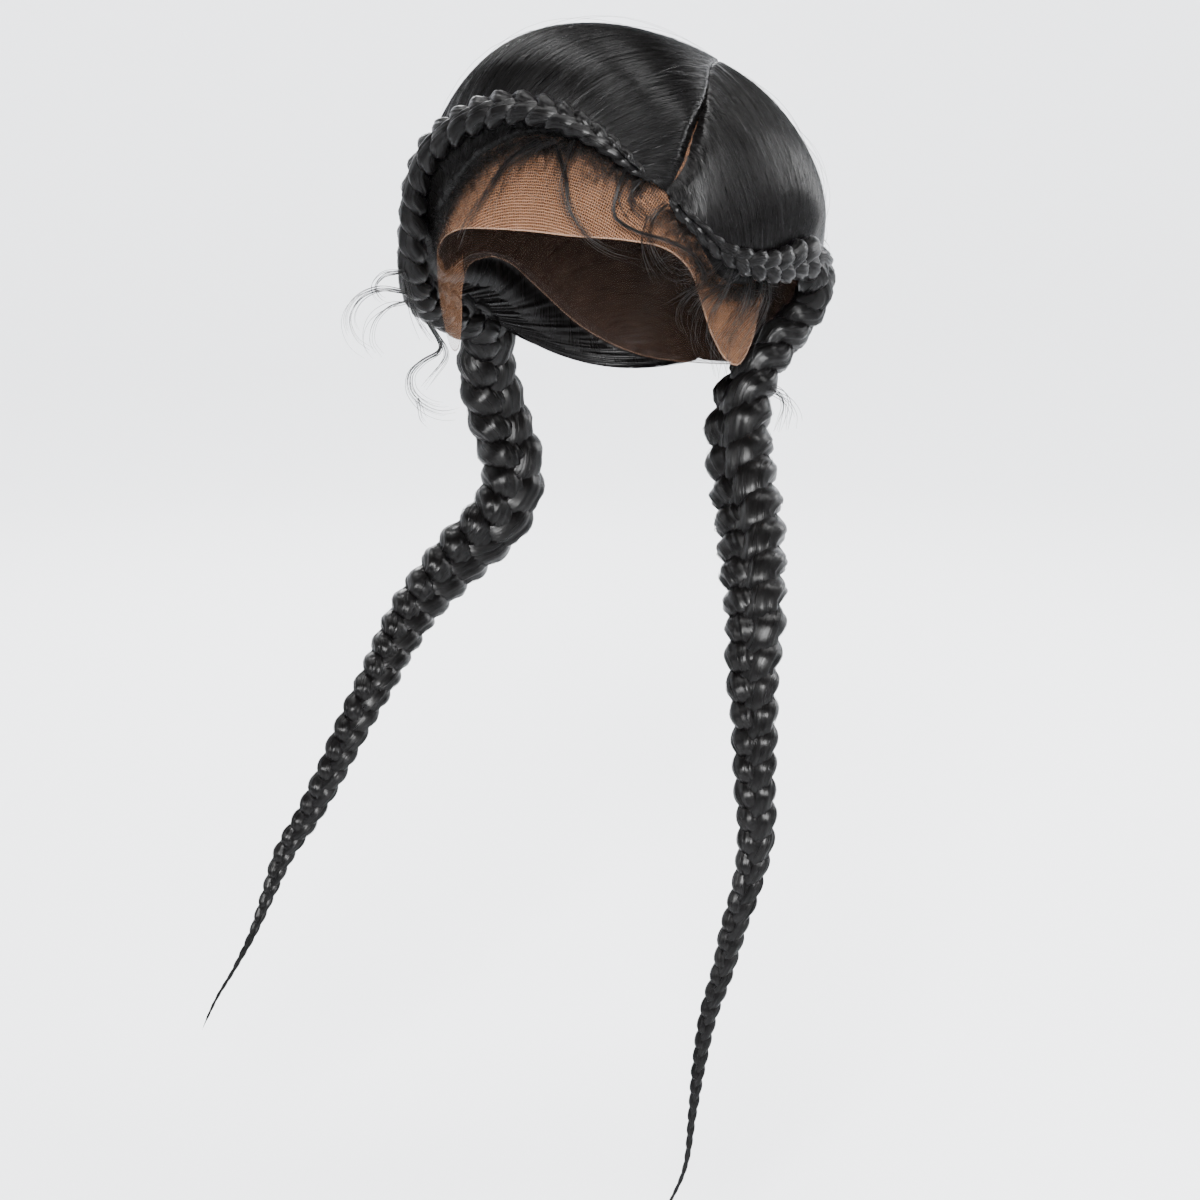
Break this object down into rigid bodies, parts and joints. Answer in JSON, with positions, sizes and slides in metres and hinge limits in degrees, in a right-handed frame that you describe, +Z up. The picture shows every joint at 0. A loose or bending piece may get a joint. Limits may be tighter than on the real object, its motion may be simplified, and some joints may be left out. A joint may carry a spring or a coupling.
{
  "type": "braid wig (lace-front wig with a side part and two Dutch braids)",
  "caption": "Lace-front wig: thin open cap, hair combed from a side part, and two raised Dutch braids that start at the forehead, run over the ears and hang free to fine tapered ends.",
  "frame": {"origin": "the inside top of the lace cap, where it sits on the crown of the wearer's head", "axes": "+Z up out of the crown, -Y the way the wearer faces, +X to the wearer's left"},
  "size_m": [0.2859, 0.2248, 0.5257],
  "materials": {
    "lace": "fine sheer net, matte, brown",
    "hair": "combed black fibre with a soft satin sheen along the strands"
  },
  "bodies": {
    "root": {"lace_cap": "lace", "crown_hair_left": "hair", "crown_hair_right": "hair", "braid_left": "hair", "braid_right": "hair"}
  },
  "joints": []
}
